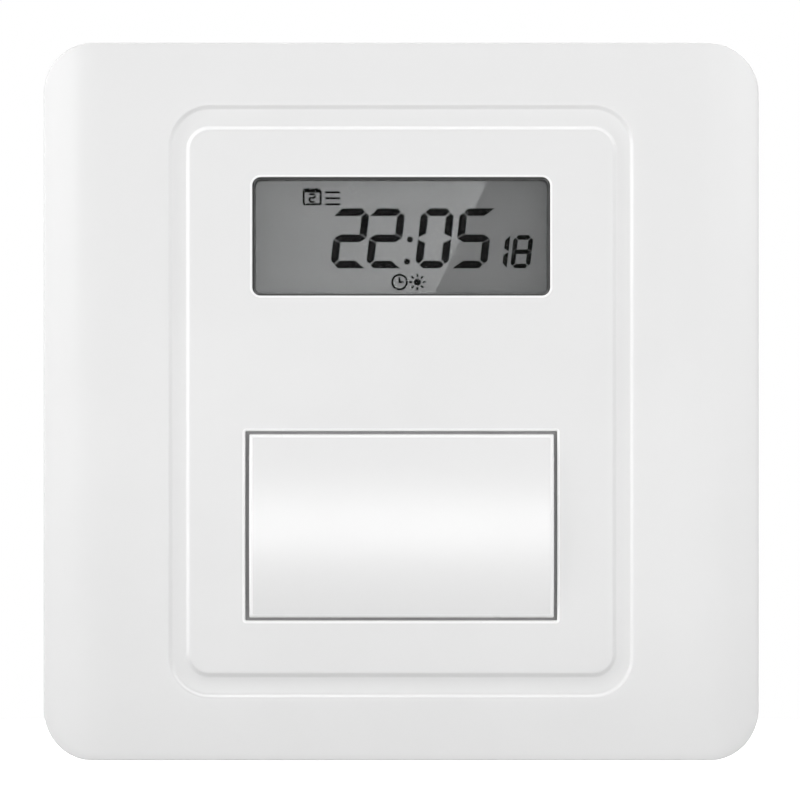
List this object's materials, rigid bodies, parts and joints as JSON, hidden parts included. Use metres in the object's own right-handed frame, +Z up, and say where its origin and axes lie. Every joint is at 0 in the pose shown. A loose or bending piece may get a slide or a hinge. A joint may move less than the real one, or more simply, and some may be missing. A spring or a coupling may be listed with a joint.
{
  "type": "timer light switch",
  "caption": "Square white wall plate with a display window, a drop-down door over the setting keys, and a rear housing with relay and wire terminals.",
  "frame": {"origin": "centre of the wall plane, midway between the two wall box screw slots", "axes": "+X to the right of the face, +Z up, +Y into the wall, so that the face looks along -Y"},
  "size_m": [0.086, 0.0424, 0.086],
  "materials": {
    "white_plastic": "smooth satin moulding, warm white",
    "housing_plastic": "fine spark texture, off white",
    "clear_lens": "clear, glossy",
    "display_glass": "clear glass",
    "polariser_film": "thin grey film",
    "reflector_film": "satin silver film",
    "contact_rubber": "striped silicone",
    "circuit_board": "green solder mask",
    "grey_plastic": "fine texture",
    "key_plastic": "satin grey keys",
    "black_plastic": "moulded black",
    "steel": "plated steel",
    "brass": "plain brass",
    "relay_case": "blue moulded case",
    "film_case": "yellow moulded case",
    "capacitor_sleeve": "shrunk sleeve",
    "varistor_coat": "dipped coat",
    "resistor_ceramic": "coated ceramic",
    "terminal_plastic": "grey moulding"
  },
  "bodies": {
    "base": {"face_plate": "white_plastic", "window_lens": "clear_lens", "lcd_front_polariser": "polariser_film", "lcd_front_glass": "display_glass", "lcd_rear_glass": "display_glass", "lcd_reflector": "reflector_film", "lcd_holder": "housing_plastic", "lcd_contact_strips": "contact_rubber", "control_board": "circuit_board", "key_panel": "grey_plastic", "tact_switches": "black_plastic", "controller_chip": "black_plastic", "clock_crystal": "steel", "coin_cell": "steel", "battery_strap": "steel", "link_socket": "black_plastic", "link_header": "black_plastic", "link_pins": "brass", "control_board_screws": "steel", "key_panel_screws": "steel", "power_board": "circuit_board", "relay": "relay_case", "film_capacitor": "film_case", "smoothing_capacitor": "capacitor_sleeve", "varistor": "varistor_coat", "fuse_resistor": "resistor_ceramic", "bridge_rectifier": "black_plastic", "terminal_block": "terminal_plastic", "terminal_clamps": "brass", "terminal_screws": "steel", "power_board_screws": "steel", "rear_housing": "housing_plastic"},
    "door": {"door": "white_plastic"},
    "key_1": {"key_cap_1": "key_plastic", "switch_plunger_1": "black_plastic"},
    "key_2": {"key_cap_2": "key_plastic", "switch_plunger_2": "black_plastic"},
    "key_3": {"key_cap_3": "key_plastic", "switch_plunger_3": "black_plastic"},
    "key_4": {"key_cap_4": "key_plastic", "switch_plunger_4": "black_plastic"},
    "key_5": {"key_cap_5": "key_plastic", "switch_plunger_5": "black_plastic"},
    "key_6": {"key_cap_6": "key_plastic", "switch_plunger_6": "black_plastic"},
    "key_7": {"key_cap_7": "key_plastic", "switch_plunger_7": "black_plastic"},
    "key_8": {"key_cap_8": "key_plastic", "switch_plunger_8": "black_plastic"}
  },
  "joints": [
    {"name": "door_hinge", "type": "hinge", "parent": "base", "child": "door", "pos_m": [0, -0.0085, -0.0244], "axis": [1, 0, 0], "range_deg": [0, 105]},
    {"name": "key_1_press", "type": "slide", "parent": "base", "child": "key_1", "axis": [0, 1, 0], "range_m": [0, 0.0003], "stiffness_N_per_m": 4000},
    {"name": "key_2_press", "type": "slide", "parent": "base", "child": "key_2", "axis": [0, 1, 0], "range_m": [0, 0.0003], "stiffness_N_per_m": 4000},
    {"name": "key_3_press", "type": "slide", "parent": "base", "child": "key_3", "axis": [0, 1, 0], "range_m": [0, 0.0003], "stiffness_N_per_m": 4000},
    {"name": "key_4_press", "type": "slide", "parent": "base", "child": "key_4", "axis": [0, 1, 0], "range_m": [0, 0.0003], "stiffness_N_per_m": 4000},
    {"name": "key_5_press", "type": "slide", "parent": "base", "child": "key_5", "axis": [0, 1, 0], "range_m": [0, 0.0003], "stiffness_N_per_m": 4000},
    {"name": "key_6_press", "type": "slide", "parent": "base", "child": "key_6", "axis": [0, 1, 0], "range_m": [0, 0.0003], "stiffness_N_per_m": 4000},
    {"name": "key_7_press", "type": "slide", "parent": "base", "child": "key_7", "axis": [0, 1, 0], "range_m": [0, 0.0003], "stiffness_N_per_m": 4000},
    {"name": "key_8_press", "type": "slide", "parent": "base", "child": "key_8", "axis": [0, 1, 0], "range_m": [0, 0.0003], "stiffness_N_per_m": 4000}
  ]
}
